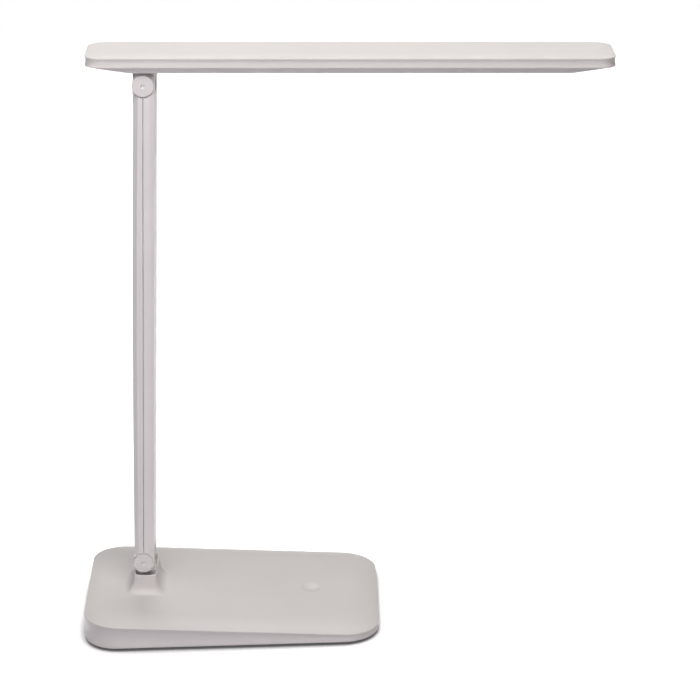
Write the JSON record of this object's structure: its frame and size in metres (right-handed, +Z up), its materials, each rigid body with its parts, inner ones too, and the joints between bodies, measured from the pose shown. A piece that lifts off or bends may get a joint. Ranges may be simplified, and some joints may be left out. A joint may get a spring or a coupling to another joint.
{
  "type": "folding desk lamp",
  "caption": "Folding LED desk lamp: wedge base with a touch dish, leaning arm with forked friction hinges at both ends, and a long flat lighting head.",
  "frame": {"origin": "on the table, at the middle of the underside of the base", "axes": "+X from the hinge end towards the free end of the head, +Y to the back, +Z up"},
  "size_m": [0.3182, 0.116, 0.3521],
  "materials": {
    "white_shell": "satin",
    "white_cap": "satin",
    "grey_cover": "satin",
    "rubber_pad": "matte",
    "ballast_steel": "zinc plated",
    "inlet_steel": "satin",
    "screw_steel": "satin",
    "circuit_board": "solder mask",
    "touch_foam": "matte foam",
    "arm_aluminium": "mill",
    "lead_sheath": "matte",
    "washer_brass": "satin",
    "opal_diffuser": "frosted",
    "clear_guide": "clear",
    "white_sheet": "matte",
    "led_board": "white solder mask"
  },
  "bodies": {
    "base": {"base_shell": "white_shell", "bottom_cover": "grey_cover", "anti_slip_pad": "rubber_pad", "ballast_plate": "ballast_steel", "inlet_board": "circuit_board", "power_inlet": "inlet_steel", "touch_board": "circuit_board", "touch_pad": "touch_foam", "base_screws": "screw_steel"},
    "arm": {"arm_front_shell": "white_shell", "arm_rear_cover": "white_shell", "arm_stiffener": "arm_aluminium", "arm_leads": "lead_sheath", "hinge_screws": "screw_steel", "hinge_nuts": "screw_steel", "friction_washers": "washer_brass", "lower_hinge_caps": "white_cap", "upper_hinge_caps": "white_cap"},
    "head": {"head_top_shell": "white_shell", "head_tray": "white_shell", "diffuser": "opal_diffuser", "light_guide": "clear_guide", "reflector_sheet": "white_sheet", "led_boards": "led_board", "head_bracket": "white_shell", "head_screws": "screw_steel"}
  },
  "joints": [
    {"name": "arm_fold", "type": "hinge", "parent": "base", "child": "arm", "pos_m": [-0.0526, 0, 0.03739], "axis": [0, 1, 0], "range_deg": [-44.3, 90.7]},
    {"name": "head_fold", "type": "hinge", "parent": "arm", "child": "head", "pos_m": [-0.03751, 0, 0.33331], "axis": [0, 1, 0], "range_deg": [-58.8, 91.2]}
  ]
}
